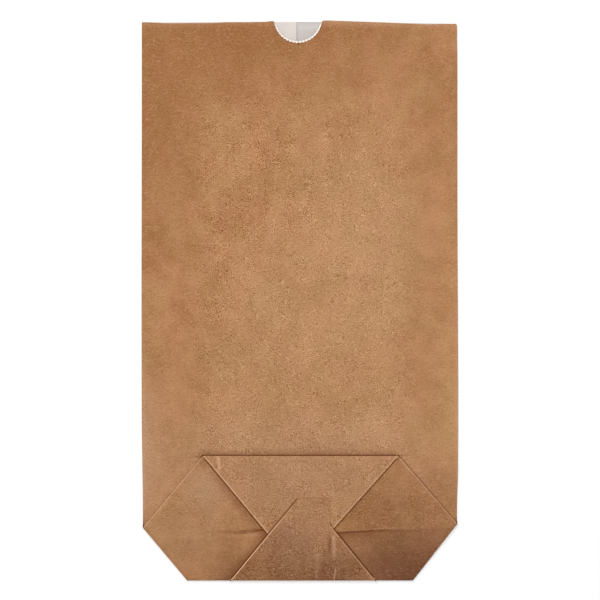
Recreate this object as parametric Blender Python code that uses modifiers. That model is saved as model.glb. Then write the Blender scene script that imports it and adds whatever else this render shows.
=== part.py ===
"""Flat-folded paper lunch bag with a cross bottom, lying on its back wall.

The model is in metres, +Z up, +Y towards the mouth, +X to the right as seen from above.
The sizes below are in millimetres.
"""

import math

import bmesh
import bpy

MM = 0.001

# Sheet
paper = 0.20  # thickness of one layer
layer_pitch = 0.42  # height from one folded layer to the next
glue_overlap = 0.03  # how far joined layers run into each other
lap = 1.5  # how far a folded edge runs on along each layer that it joins

# Bag outline, seen from above
bag_width = 160.0
bag_length = 282.8
mouth_skew = 0.65  # the cut is lower on the right by this much
mouth_bow = 0.67  # the cut is higher in the middle by this much
back_inset = 0.25  # the back wall ends this far inside the folds

# Folded bottom, heights measured from the bottom edge
hinge_left = 26.8
hinge_right = 28.7
bottom_top_edge = 62.8
upper_corner_left = 49.2
upper_corner_right = 49.9
lower_corner_half = 57.15

# Bottom panel, the turned-up foot of the front wall
panel_inset = 0.45  # inside the slanted folds
hinge_inset = 0.4  # its fold turns this far above the hinge line
hinge_lap = 1.2  # how far it runs on under the front wall

# Upper flap, turned down over the side flaps
upper_flap_end = 18.5
upper_flap_end_left = 12.2
upper_flap_end_right = 10.2

# Side flaps, squashed flat between the panel and the upper flap
side_flap_inner = 9.0  # hidden inner edge, from the middle line
side_flap_tuck = 4.5  # how far the foot of that edge reaches under the lower flap
side_flap_top = 3.5  # width at the top corner
side_flap_drop = 1.4  # top end below the top edge
side_flap_knee = 8.0  # the inner edge is upright this far above and below the vertex
side_flap_foot = 0.42  # foot above the bottom edge
upper_fold_inset = 0.40  # inside the slanted fold above the vertex
lower_fold_inset = 0.85  # inside the slanted fold below the vertex
vertex_inset = 0.95  # inside the side fold at the vertex
corner_clearance = 1.1  # the slanted fold stops this far from the top corner
foot_lap = 0.8  # how far the bottom fold runs on along its layers

# Lower flap, turned up over all the others
lower_flap_left = 35.3
lower_flap_right = 38.2
lower_flap_height = 41.8
lower_flap_tip_left = 0.8
lower_flap_side = 15.2
lower_flap_side_height = 28.2
lower_flap_lap = 2.1  # how far it runs on along the back wall

# Spring of the sheet
gape = 7.0  # greatest height of the front wall over its lowest place
gape_centre = 4.0
gape_run = 0.62  # part of the length over which the gape grows
bottom_lift = 0.30  # how far the folded bottom springs off the front wall
settle = (0.0, 0.0, 0.8, 1.6, 1.6, 2.2)  # pitches by which each layer comes down at the bottom edge

# Thumb notch in the front wall
notch_radius = 11.25
notch_sweep = 184.0  # degrees of its arc
notch_flare = 2.3  # the arc opens by this much at its two ends
notch_flare_share = 0.12  # part of the arc over which each end opens
notch_centre_x = -1.0
notch_centre_rise = 0.45  # centre of the arc above the mouth line
notch_clearance = 1.2  # the cut starts this far over the back wall
tooth_pitch = 1.70
tooth_depth = 0.46

# Mesh steps
columns = 22
front_rows = 22
panel_rows = 6
upper_flap_rows = 8
side_flap_columns = 7
lower_flap_columns = 14
arc_steps = 4

# Finish
kraft_colour = (0.445, 0.235, 0.118, 1.0)
kraft_roughness = 0.85

half = bag_width / 2
low = -bag_length / 2
top_edge = low + bottom_top_edge


def hinge(x):
    """Where the front wall turns up, a straight line across the bag."""
    share = (x + half) / bag_width
    return low + hinge_left + (hinge_right - hinge_left) * share


def mouth(x):
    """The cut edge, a shallow bow whose highest place is at half the length."""
    share = x / half
    highest = mouth_skew**2 / (16 * mouth_bow)
    return bag_length / 2 - mouth_bow * share**2 - mouth_skew * share / 2 - highest


def smooth(value):
    value = min(1.0, max(0.0, value))
    return value * value * (3.0 - 2.0 * value)


def swell(x, y):
    """Height of the front wall over its lowest place."""
    reach = half - gape_centre if x > gape_centre else half + gape_centre
    across = math.cos(0.5 * math.pi * min(1.0, abs(x - gape_centre) / reach)) ** 2
    start = hinge(x)
    run = (bag_length / 2 - start) * gape_run
    return gape * across * smooth((y - start) / run)


def level(layer, x, y):
    """Middle height of a layer: 0 back, 1 front, 2 bottom panel, 3 side, 4 upper, 5 lower flap."""
    start = hinge(x)
    base = paper / 2 + layer * layer_pitch
    if y >= start:
        lift = bottom_lift * (y - start) / (top_edge - start) if layer >= 2 else 0.0
        return base + swell(x, y) + lift
    share = (start - y) / (start - low)
    return base - settle[layer] * share * layer_pitch


# Corners of the folded bottom
vertex_of = {-1: (-half, hinge(-half)), 1: (half, hinge(half))}
upper_of = {-1: (-upper_corner_left, top_edge), 1: (upper_corner_right, top_edge)}
lower_of = {-1: (-lower_corner_half, low), 1: (lower_corner_half, low)}
flap_foot_of = {-1: (-lower_flap_left, low), 1: (lower_flap_right, low)}


def between(first, last, count):
    return [first + (last - first) * i / (count - 1) for i in range(count)]


def along(start, end, y):
    """The x at which a straight line passes a height of the bag."""
    share = (y - start[1]) / (end[1] - start[1])
    return start[0] + (end[0] - start[0]) * share


def blend(value, start, end, first, last):
    """A straight change from first to last while the value goes from start to end."""
    share = min(1.0, max(0.0, (value - start) / (end - start)))
    return first + (last - first) * share


def outward(start, end, side):
    """Unit direction square to a line, pointing away from the middle of the bag."""
    dx = end[0] - start[0]
    dy = end[1] - start[1]
    size = math.hypot(dx, dy)
    normal = (dy / size, -dx / size)
    if normal[0] * side < 0:
        normal = (-normal[0], -normal[1])
    return normal


def new_collection(name):
    made = bpy.data.collections.new(name)
    bpy.context.scene.collection.children.link(made)
    return made


def add_object(name, mesh, collection):
    made = bpy.data.objects.new(name, mesh)
    collection.objects.link(made)
    return made


def solid_of(item):
    """A plain mesh of an object with its modifiers applied."""
    bpy.context.view_layer.update()
    graph = bpy.context.evaluated_depsgraph_get()
    return bpy.data.meshes.new_from_object(item.evaluated_get(graph), depsgraph=graph)


def sheet(name, rows):
    """A sheet of paper: an open surface through rows of points, made solid."""
    work = bmesh.new()
    grid = [[work.verts.new([c * MM for c in point]) for point in row] for row in rows]
    for upper, lower in zip(grid, grid[1:]):
        for i in range(len(upper) - 1):
            work.faces.new((upper[i], lower[i], lower[i + 1], upper[i + 1]))
    bmesh.ops.recalc_face_normals(work, faces=work.faces)
    mesh = bpy.data.meshes.new(name)
    work.to_mesh(mesh)
    work.free()
    item = add_object(name, mesh, tool_collection)
    thick = item.modifiers.new("paper", "SOLIDIFY")
    thick.thickness = paper * MM
    thick.offset = 0.0
    thick.use_even_offset = True
    item.data = solid_of(item)
    item.modifiers.clear()
    return item


def prism(name, outline, z_low, z_high):
    """A straight block over a flat outline."""
    work = bmesh.new()
    face = work.faces.new([work.verts.new((x * MM, y * MM, z_low * MM)) for x, y in outline])
    more = bmesh.ops.extrude_face_region(work, geom=[face])
    moved = [part for part in more["geom"] if isinstance(part, bmesh.types.BMVert)]
    bmesh.ops.translate(work, verts=moved, vec=(0, 0, (z_high - z_low) * MM))
    bmesh.ops.recalc_face_normals(work, faces=work.faces)
    mesh = bpy.data.meshes.new(name)
    work.to_mesh(mesh)
    work.free()
    return add_object(name, mesh, tool_collection)


def straight_row(layer, start, end, steps, shift=0.0):
    """Points of one layer along a straight line."""
    row = []
    for share in between(0.0, 1.0, steps + 1):
        x = start[0] + (end[0] - start[0]) * share
        y = start[1] + (end[1] - start[1]) * share
        row.append((x, y, level(layer, x, y) + shift))
    return row


def fold_arc(x, y, out, z_low, z_high):
    """Points round a fold, from the lower layer to the upper one."""
    radius = (z_high - z_low) / 2
    middle = (z_high + z_low) / 2
    points = []
    for i in range(arc_steps + 1):
        turn = math.pi * i / arc_steps - math.pi / 2
        reach = radius * math.cos(turn)
        points.append((x + out[0] * reach, y + out[1] * reach, middle + radius * math.sin(turn)))
    return points


def turned_over(row, layer, out):
    """Rows round a fold, from the end of one layer to the start of a higher one."""
    arcs = [fold_arc(x, y, out, z, level(layer, x, y)) for x, y, z in row]
    return [[arc[step] for arc in arcs] for step in range(1, arc_steps + 1)]


def fold(name, start, end, out, layers, count, run_on=lap):
    """A folded edge along a straight line of the outline, joining two layers."""
    rows = []
    for share in between(0.0, 1.0, count):
        x = start[0] + (end[0] - start[0]) * share
        y = start[1] + (end[1] - start[1]) * share
        inset = (level(layers[1], x, y) - level(layers[0], x, y)) / 2 + paper / 2
        x -= out[0] * inset
        y -= out[1] * inset
        back_x = x - out[0] * run_on
        back_y = y - out[1] * run_on
        z_low = level(layers[0], x, y) + glue_overlap
        z_high = level(layers[1], x, y) - glue_overlap
        first = (back_x, back_y, level(layers[0], back_x, back_y) + glue_overlap)
        last = (back_x, back_y, level(layers[1], back_x, back_y) - glue_overlap)
        rows.append([first] + fold_arc(x, y, out, z_low, z_high) + [last])
    return sheet(name, rows)


def make_back_wall():
    """The back wall, flat on the table."""
    side = half - back_inset
    corner = lower_corner_half - back_inset
    foot = low + 2 * back_inset
    outline = [(x, mouth(x)) for x in between(-side, side, 13)]
    outline += [(side, hinge(half)), (corner, foot), (-corner, foot), (-side, hinge(-half))]
    return prism("back_wall", outline, 0.0, paper)


def make_front_wall():
    """The front wall, from the mouth to the hinge line, with its two side folds."""
    inset = (layer_pitch - glue_overlap) / 2 + paper / 2
    rows = []
    for share in between(0.0, 1.0, front_rows + 1):
        row = []
        for x in between(-half + inset, half - inset, columns + 1):
            y = mouth(x) + (hinge(x) - mouth(x)) * share
            row.append((x, y, level(1, x, y)))
        left = row[0]
        right = row[-1]
        fold_low = level(0, left[0], left[1]) + glue_overlap
        left_arc = fold_arc(left[0], left[1], (-1, 0), fold_low, left[2])
        right_arc = fold_arc(right[0], right[1], (1, 0), fold_low, right[2])
        first = (left[0] + lap, left[1], fold_low)
        last = (right[0] - lap, right[1], fold_low)
        rows.append([first, *left_arc, *row[1:-1], *reversed(right_arc), last])
    return sheet("front_wall", rows)


def make_panel_and_upper_flap():
    """The turned-up foot of the front wall and the flap turned down from its top edge."""
    ends = []
    for side in (-1, 1):
        x = side * (half - panel_inset)
        ends.append((x, hinge(x) + hinge_inset))
    under = [(x, y + hinge_lap) for x, y in ends]
    rows = [straight_row(1, *under, columns, glue_overlap), straight_row(1, *ends, columns, glue_overlap)]
    rows += turned_over(rows[-1], 2, (0, -1))
    top_y = top_edge - layer_pitch - paper / 2
    for share in between(0.0, 1.0, panel_rows + 1)[1:]:
        ends = []
        for side in (-1, 1):
            vertex = vertex_of[side]
            y = vertex[1] + (top_y - vertex[1]) * share
            ends.append((along(vertex, upper_of[side], y) - side * panel_inset, y))
        rows.append(straight_row(2, *ends, columns))
    rows += turned_over(rows[-1], 4, (0, 1))
    first_left = rows[-1][0][0]
    first_right = rows[-1][-1][0]
    for y in between(top_y, low + upper_flap_end, upper_flap_rows + 1)[1:]:
        left = blend(y, top_y, low + upper_flap_end, first_left, -upper_flap_end_left)
        right = blend(y, top_y, low + upper_flap_end, first_right, upper_flap_end_right)
        rows.append(straight_row(4, (left, y), (right, y), columns))
    return sheet("bottom_panel_and_upper_flap", rows)


def make_side_flap(side):
    """One squashed side flap, with its folds to the bottom panel and to the back wall."""
    name = "left" if side < 0 else "right"
    vertex = vertex_of[side]
    upper = upper_of[side]
    lower = lower_of[side]
    flap_foot = abs(flap_foot_of[side][0])
    start_y = upper[1] - side_flap_drop
    knee_y = vertex[1] + side_flap_knee
    bend_y = vertex[1] - side_flap_knee
    end_y = low + side_flap_foot
    heights = between(start_y, knee_y, 5) + between(knee_y, vertex[1], 3)[1:]
    heights += between(vertex[1], bend_y, 3)[1:] + between(bend_y, end_y, 5)[1:]
    rows = []
    for y in heights:
        if y >= vertex[1]:
            outer = abs(along(vertex, upper, y)) - upper_fold_inset
            inner = blend(y, start_y, knee_y, abs(upper[0]) - side_flap_top, side_flap_inner)
        else:
            outer = abs(along(vertex, lower, y)) - lower_fold_inset
            inner = blend(y, bend_y, end_y, side_flap_inner, flap_foot - side_flap_tuck)
        outer = min(outer, half - vertex_inset)
        rows.append(straight_row(3, (side * inner, y), (side * outer, y), side_flap_columns))
    up_out = outward(vertex, upper, side)
    down_out = outward(vertex, lower, side)
    stop_share = 1.0 - corner_clearance / math.dist(vertex, upper)
    stop = [a + (b - a) * stop_share for a, b in zip(vertex, upper)]
    inner_foot = (side * (flap_foot - lap), low)
    return [
        sheet(name + "_side_flap", rows),
        fold(name + "_upper_fold", vertex, stop, up_out, (2, 3), 8),
        fold(name + "_lower_fold", vertex, lower, down_out, (0, 3), 8),
        fold(name + "_bottom_fold", lower, inner_foot, (0, -1), (0, 3), 5, foot_lap),
    ]


def make_lower_flap():
    """The lower flap, folded up from the back wall over all the others."""
    left_foot = flap_foot_of[-1]
    right_foot = flap_foot_of[1]
    tip = (-lower_flap_tip_left, low + lower_flap_height)
    knee = (lower_flap_side, low + lower_flap_side_height)
    radius = (level(5, 0, low) - level(0, 0, low)) / 2
    start = low + radius + paper / 2
    glued = 1.5 * glue_overlap
    rows = []
    for y in (start + lower_flap_lap, start):
        rows.append(straight_row(0, (left_foot[0], y), (right_foot[0], y), lower_flap_columns, glued))
    rows += turned_over(rows[-1], 5, (0, -1))
    for y in between(start, knee[1], 8)[1:] + between(knee[1], tip[1], 5)[1:]:
        left = along(left_foot, tip, y)
        right = along(right_foot, knee, y) if y < knee[1] else knee[0]
        rows.append(straight_row(5, (left, y), (right, y), lower_flap_columns))
    return sheet("lower_flap", rows)


def make_notch():
    """Cutter of the thumb notch, with a toothed arc, through the front wall only."""
    centre_y = bag_length / 2 + notch_centre_rise
    steps = 2 * int(round(math.radians(notch_sweep) * notch_radius / tooth_pitch))
    outline = []
    for i in range(steps + 1):
        from_middle = i / steps - 0.5
        angle = math.radians(notch_sweep * from_middle - 90.0)
        opened = max(0.0, abs(from_middle) - 0.5 + notch_flare_share) / notch_flare_share
        tooth = tooth_depth / 2 if i % 2 else -tooth_depth / 2
        radius = notch_radius + tooth + notch_flare * opened**1.5
        outline.append((notch_centre_x + radius * math.cos(angle), centre_y + radius * math.sin(angle)))
    for side in (1, -1):
        outline.append((notch_centre_x + side * (notch_radius + notch_flare), centre_y + notch_radius))
    return prism("thumb_notch", outline, paper + notch_clearance, 2 * gape)


def combine(target, other, operation):
    step = target.modifiers.new(operation.lower(), "BOOLEAN")
    step.operation = operation
    step.solver = "EXACT"
    step.object = other
    target.data = solid_of(target)
    target.modifiers.clear()


def clean(mesh):
    """Joins doubled points and leaves plain triangles that face out."""
    work = bmesh.new()
    work.from_mesh(mesh)
    bmesh.ops.remove_doubles(work, verts=work.verts, dist=0.0001 * MM)
    bmesh.ops.dissolve_limit(work, angle_limit=math.radians(0.02), verts=work.verts, edges=work.edges)
    bmesh.ops.triangulate(work, faces=work.faces)
    bmesh.ops.recalc_face_normals(work, faces=work.faces)
    work.to_mesh(mesh)
    work.free()


def make_kraft():
    kraft = bpy.data.materials.new("brown_kraft_paper")
    kraft.use_nodes = True
    shader = kraft.node_tree.nodes["Principled BSDF"]
    shader.inputs["Base Color"].default_value = kraft_colour
    shader.inputs["Roughness"].default_value = kraft_roughness
    shader.inputs["Metallic"].default_value = 0.0
    return kraft


def make_bag():
    """One sheet: the folded layers are joined, then the notch is cut."""
    bag = add_object("paper_bag", make_front_wall().data.copy(), bag_collection)
    pieces = [make_back_wall(), make_panel_and_upper_flap()]
    pieces += make_side_flap(-1) + make_side_flap(1)
    pieces.append(make_lower_flap())
    for piece in pieces:
        combine(bag, piece, "UNION")
    combine(bag, make_notch(), "DIFFERENCE")
    clean(bag.data)
    bag.data.name = "paper_bag"
    bag.data.materials.clear()
    bag.data.materials.append(make_kraft())
    return bag


for old in list(bpy.data.objects):
    bpy.data.objects.remove(old, do_unlink=True)
bag_collection = new_collection("paper_bag_parts")
tool_collection = new_collection("cutters")
make_bag()
for tool in tool_collection.objects:
    tool.hide_render = True
    tool.display_type = "WIRE"
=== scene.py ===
"""Looks of the flat brown paper bag: its folded sheet, kraft finish, light and camera.

Lengths are in millimetres up to the moment that a mesh is made, and in metres in Blender.
"""

import math

import bmesh
import bpy
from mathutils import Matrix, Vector, noise


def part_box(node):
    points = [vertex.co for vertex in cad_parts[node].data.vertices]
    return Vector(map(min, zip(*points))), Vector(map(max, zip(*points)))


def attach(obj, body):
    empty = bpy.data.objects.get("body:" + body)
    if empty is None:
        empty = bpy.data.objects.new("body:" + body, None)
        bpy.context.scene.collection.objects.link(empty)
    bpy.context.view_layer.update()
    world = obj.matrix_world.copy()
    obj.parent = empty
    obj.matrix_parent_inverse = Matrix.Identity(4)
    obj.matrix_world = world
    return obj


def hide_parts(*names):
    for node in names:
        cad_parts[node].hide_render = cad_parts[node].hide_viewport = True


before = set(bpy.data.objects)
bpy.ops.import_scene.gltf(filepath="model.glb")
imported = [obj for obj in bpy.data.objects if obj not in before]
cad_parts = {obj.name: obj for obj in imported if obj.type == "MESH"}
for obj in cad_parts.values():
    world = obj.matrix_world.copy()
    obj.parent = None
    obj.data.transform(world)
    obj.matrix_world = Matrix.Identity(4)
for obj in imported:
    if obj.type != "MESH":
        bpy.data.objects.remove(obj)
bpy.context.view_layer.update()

MM = 0.001
PER_METRE = 1000.0  # millimetres in a metre, for the materials
bag_low, bag_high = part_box("paper_bag")

# Sheet and outline, as in the solid
bag_width = (bag_high.x - bag_low.x) / MM
bag_length = (bag_high.y - bag_low.y) / MM
half = bag_width / 2
low = -bag_length / 2
paper = 0.15
layer_pitch = 0.42
mouth_skew = 0.65
mouth_bow = 0.67

# Folded bottom, heights measured from the bottom edge
hinge_left = 26.8
hinge_right = 28.7
bottom_top_edge = 63.15
upper_corner_left = 49.2
upper_corner_right = 49.9
lower_corner_half = 57.15
upper_flap_end = 18.5
upper_flap_end_left = 12.2
upper_flap_end_right = 10.2
upper_flap_inset = 0.18
lower_flap_left = 35.3
lower_flap_right = 38.2
lower_flap_height = 41.8
lower_flap_tip_left = 0.8
lower_flap_side = 15.2
lower_flap_side_height = 28.2
side_flap_inner = 9.0
side_flap_tuck = 4.5

# Gape and spring of the folds
gape = 7.0
gape_centre = 4.0
gape_run = 0.62
bottom_lift = 0.30
mouth_rows = [0.0, 0.0014, 0.0028, 0.0045, 0.007]  # shares of a wall's length, close at the mouth

# How the front wall's cut edge is drawn back: depth, centre and reach of each bulge or curl along x
edge_draw = 0.36
edge_bulges = (
    (0.75, -30.0, 55.0),
    (0.30, 58.0, 26.0),
    (0.18, 32.0, 18.0),
    (-0.22, -36.0, 10.0),
    (-0.35, -13.0, 5.0),
    (-0.12, 14.0, 6.0),
    (-0.25, -80.0, 10.0),
)
edge_corner_draw = 0.26
edge_corner_from = 68.0

# Crease across both side flaps: its height is slope times x plus level
crease_slope = 0.058
crease_level = -118.3

# Thumb notch
notch_radius = 11.25
notch_centre_x = -1.0
notch_centre_y = bag_length / 2 + 0.45
notch_flare = 2.3
flare_from = 0.38  # share of the cut, from its middle, at which it starts to open out
notch_turn = math.pi * 1.02
points_per_tooth = 6
calm_teeth = 0.4  # share of the tooth depth that is left at the notch's sides
tooth_pitch = 1.70
tooth_depth = 0.46
liner_rim = 0.80  # width of the pale liner that shows inside the toothed brown edge

# Glued long seam inside the back wall
seam_left = -1.9
seam_width = 15.0

# Folds rolled under at the sides of the upper and lower flaps
roll_drop = 0.24
upper_tuck = 2.2
lower_tuck = 2.0
roll_steps = 6  # faces round a small fold

top_edge = low + bottom_top_edge
left_vertex = (-half + 0.45, low + hinge_left)
right_vertex = (half - 0.35, low + hinge_right)
left_upper = (-upper_corner_left, top_edge)
right_upper = (upper_corner_right, top_edge)
left_lower = (-lower_corner_half, low)
right_lower = (lower_corner_half, low)
corners = {-1: (left_vertex, left_upper, left_lower), 1: (right_vertex, right_upper, right_lower)}
left_foot = (-lower_flap_left, low)
right_foot = (lower_flap_right, low)
flap_tip = (-lower_flap_tip_left, low + lower_flap_height)
flap_knee = (lower_flap_side, low + lower_flap_side_height)
flap_corner = (lower_flap_side, low + lower_flap_height)
upper_foot_left = (-upper_flap_end_left, low + upper_flap_end)
upper_foot_right = (upper_flap_end_right, low + upper_flap_end)


# Shape of the sheet


def smooth(value):
    value = min(1.0, max(0.0, value))
    return value * value * (3.0 - 2.0 * value)


def hump(value):
    """A smooth bump, 1 at 0 and 0 from 1 outwards."""
    return 1.0 - smooth(abs(value))


def hinge(x):
    """Height of the line on which the foot of the front wall is turned up."""
    return low + hinge_left + (hinge_right - hinge_left) * (x + half) / bag_width


def mouth(x):
    """Height of the mouth's cut edge, which is a little bowed and askew."""
    share = x / half
    highest = mouth_skew**2 / (16 * mouth_bow)
    return bag_length / 2 - mouth_bow * share**2 - mouth_skew * share / 2 - highest


def recess(x):
    """How far the bulging front wall draws its cut edge back from the mouth line."""
    drawn = edge_draw
    for depth, centre, reach in edge_bulges:
        drawn += depth * hump((x - centre) / reach)
    return drawn - edge_corner_draw * smooth((abs(x) - edge_corner_from) / 5.0)


def swell(x, y):
    """Height that the gape of the bag lifts the front wall by."""
    reach = half - gape_centre if x > gape_centre else half + gape_centre
    across = math.cos(0.5 * math.pi * min(1.0, abs(x - gape_centre) / reach)) ** 2
    start = hinge(x)
    run = (bag_length / 2 - start) * gape_run
    return gape * across * smooth((y - start) / run)


def level(layer, x, y):
    """Middle height of a layer: 0 back wall, 1 front wall, 2 panel, 3 side, 4 upper, 5 lower flap."""
    start = hinge(x)
    base = paper / 2 + layer * layer_pitch
    if y >= start:
        lift = bottom_lift * (y - start) / (top_edge - start) if layer >= 2 else 0.0
        return base + swell(x, y) + lift
    share = (start - y) / (start - low)
    fall = {0: 0.0, 1: 0.0, 2: 0.8, 3: 1.6, 4: 1.6, 5: 2.2}[layer]
    return base - fall * share * layer_pitch


def ripple(x, y, size, seed):
    """Soft unevenness of handled paper, between about -1 and 1."""
    return noise.noise(Vector((x / size, y / size, seed)))


def front_height(x, y):
    """Front wall: the gape, handled unevenness, and the dip where it runs under the folded bottom."""
    free = smooth((y - top_edge - 2.0) / 25.0) * smooth((half - abs(x)) / 18.0)
    waves = 0.34 * ripple(x, 0.7 * y, 42.0, 3.1)
    dimples = 0.10 * ripple(x, y, 15.0, 8.4)
    above = (y - top_edge) / 6.0
    inside = smooth((56.0 - abs(x)) / 8.0)
    dip = -0.30 * inside * math.exp(-max(0.0, above) * 1.6) * smooth((y - top_edge + 14.0) / 14.0)
    return level(1, x, y) + free * (waves + dimples) + dip


def between(first, last, count):
    """Evenly spaced values, both ends among them."""
    return [first + (last - first) * i / (count - 1) for i in range(count)]


def along(start, end, y):
    """The x at which the line through two points has the given y."""
    share = (y - start[1]) / (end[1] - start[1])
    return start[0] + (end[0] - start[0]) * share


def outward(start, end, side):
    """Direction square to a line, towards the given side of the bag."""
    dx = end[0] - start[0]
    dy = end[1] - start[1]
    size = math.hypot(dx, dy)
    normal = (dy / size, -dx / size)
    if normal[0] * side < 0:
        normal = (-normal[0], -normal[1])
    return normal


# Mesh helpers


def fold_arc(x, y, out, z_low, z_high, steps=roll_steps):
    """Points round a fold, from its lower sheet to its upper one."""
    radius = (z_high - z_low) / 2
    middle = (z_high + z_low) / 2
    points = []
    for i in range(steps + 1):
        turn = math.pi * i / steps - math.pi / 2
        reach = radius * math.cos(turn)
        points.append((x + out[0] * reach, y + out[1] * reach, middle + radius * math.sin(turn)))
    return points


def add_object(name, data):
    item = bpy.data.objects.new(name, data)
    bpy.context.scene.collection.objects.link(item)
    return item


def surface(rows, facing):
    """An open sheet through rows of points, whose outside mostly faces the given way."""
    work = bmesh.new()
    grid = [[work.verts.new([c * MM for c in point]) for point in row] for row in rows]
    for upper, lower in zip(grid, grid[1:]):
        for i in range(len(upper) - 1):
            face = work.faces.new((upper[i], lower[i], lower[i + 1], upper[i + 1]))
            face.smooth = True
            face.normal_update()
    if sum(face.calc_area() * face.normal.dot(Vector(facing)) for face in work.faces) < 0:
        bmesh.ops.reverse_faces(work, faces=work.faces)
    return work


def plain_mesh(item):
    """The object's mesh with its modifiers applied."""
    bpy.context.view_layer.update()
    graph = bpy.context.evaluated_depsgraph_get()
    item.data = bpy.data.meshes.new_from_object(item.evaluated_get(graph), depsgraph=graph)
    item.modifiers.clear()
    return item


def panel(name, rows, materials, facing=(0, 0, 1), cutter=None):
    """One panel of the sheet: outside, inside and cut edge in that order of materials."""
    work = surface(rows, facing)
    mesh = bpy.data.meshes.new(name)
    work.to_mesh(mesh)
    work.free()
    item = add_object(name, mesh)
    for material in materials:
        mesh.materials.append(material)
    thick = item.modifiers.new("paper", "SOLIDIFY")
    thick.thickness = paper * MM
    thick.offset = 0.0
    thick.material_offset = 1
    thick.material_offset_rim = 2
    thick.use_even_offset = True
    if cutter:
        cut = item.modifiers.new("notch", "BOOLEAN")
        cut.operation = "DIFFERENCE"
        cut.solver = "EXACT"
        cut.object = cutter
    return plain_mesh(item)


# Node helpers


def srgb(red, green, blue):
    """Linear colour of a screen colour given from 0 to 255."""
    values = []
    for part in (red, green, blue):
        share = part / 255.0
        values.append(share / 12.92 if share <= 0.04045 else ((share + 0.055) / 1.055) ** 2.4)
    return (*values, 1.0)


class Board:
    """A node tree with short calls for the nodes that the paper needs."""

    def __init__(self, tree):
        self.tree = tree

    def node(self, kind, **settings):
        made = self.tree.nodes.new(kind)
        for key, value in settings.items():
            setattr(made, key, value)
        return made

    def feed(self, socket, value):
        if isinstance(value, bpy.types.NodeSocket):
            self.tree.links.new(value, socket)
        elif value is not None:
            socket.default_value = value

    def maths(self, operation, first, second=None, third=None):
        made = self.node("ShaderNodeMath", operation=operation)
        for socket, value in zip(made.inputs, (first, second, third)):
            self.feed(socket, value)
        return made.outputs[0]

    def vector(self, operation, first, second=None, scale=None):
        made = self.node("ShaderNodeVectorMath", operation=operation)
        self.feed(made.inputs[0], first)
        self.feed(made.inputs[1], second)
        if scale is not None:
            self.feed(made.inputs["Scale"], scale)
        return made.outputs["Value" if operation in ("DOT_PRODUCT", "LENGTH", "DISTANCE") else "Vector"]

    def ramp(self, value, start, end, low_value=0.0, high_value=1.0):
        made = self.node("ShaderNodeMapRange", interpolation_type="SMOOTHSTEP")
        self.feed(made.inputs["Value"], value)
        self.feed(made.inputs["From Min"], start)
        self.feed(made.inputs["From Max"], end)
        self.feed(made.inputs["To Min"], low_value)
        self.feed(made.inputs["To Max"], high_value)
        return made.outputs["Result"]

    def noise(self, vector, scale, detail=2.0, roughness=0.5):
        made = self.node("ShaderNodeTexNoise")
        self.feed(made.inputs["Vector"], vector)
        self.feed(made.inputs["Scale"], scale)
        self.feed(made.inputs["Detail"], detail)
        self.feed(made.inputs["Roughness"], roughness)
        return made.outputs["Fac"]

    def turned(self, vector, angle, stretch, shift=(0.0, 0.0, 0.0)):
        made = self.node("ShaderNodeMapping")
        self.feed(made.inputs["Vector"], vector)
        self.feed(made.inputs["Rotation"], (0.0, 0.0, math.radians(angle)))
        self.feed(made.inputs["Scale"], stretch)
        self.feed(made.inputs["Location"], shift)
        return made.outputs["Vector"]

    def mix(self, share, first, second):
        made = self.node("ShaderNodeMix", data_type="RGBA")
        self.feed(made.inputs[0], share)
        self.feed(made.inputs[6], first)
        self.feed(made.inputs[7], second)
        return made.outputs[2]

    def group(self, tree, **values):
        made = self.node("ShaderNodeGroup", node_tree=tree)
        for name, value in values.items():
            self.feed(made.inputs[name.replace("_", " ")], value)
        return made.outputs


def new_group(name, inputs, outputs):
    tree = bpy.data.node_groups.new(name, "ShaderNodeTree")
    for label, kind in inputs:
        tree.interface.new_socket(name=label, in_out="INPUT", socket_type="NodeSocket" + kind)
    for label, kind in outputs:
        tree.interface.new_socket(name=label, in_out="OUTPUT", socket_type="NodeSocket" + kind)
    board = Board(tree)
    return board, board.node("NodeGroupInput").outputs, board.node("NodeGroupOutput").inputs


fibre_outputs = ("Grain", "Light Fibre", "Dark Fibre", "Cloud", "Warmth", "Speck", "Height")


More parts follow.
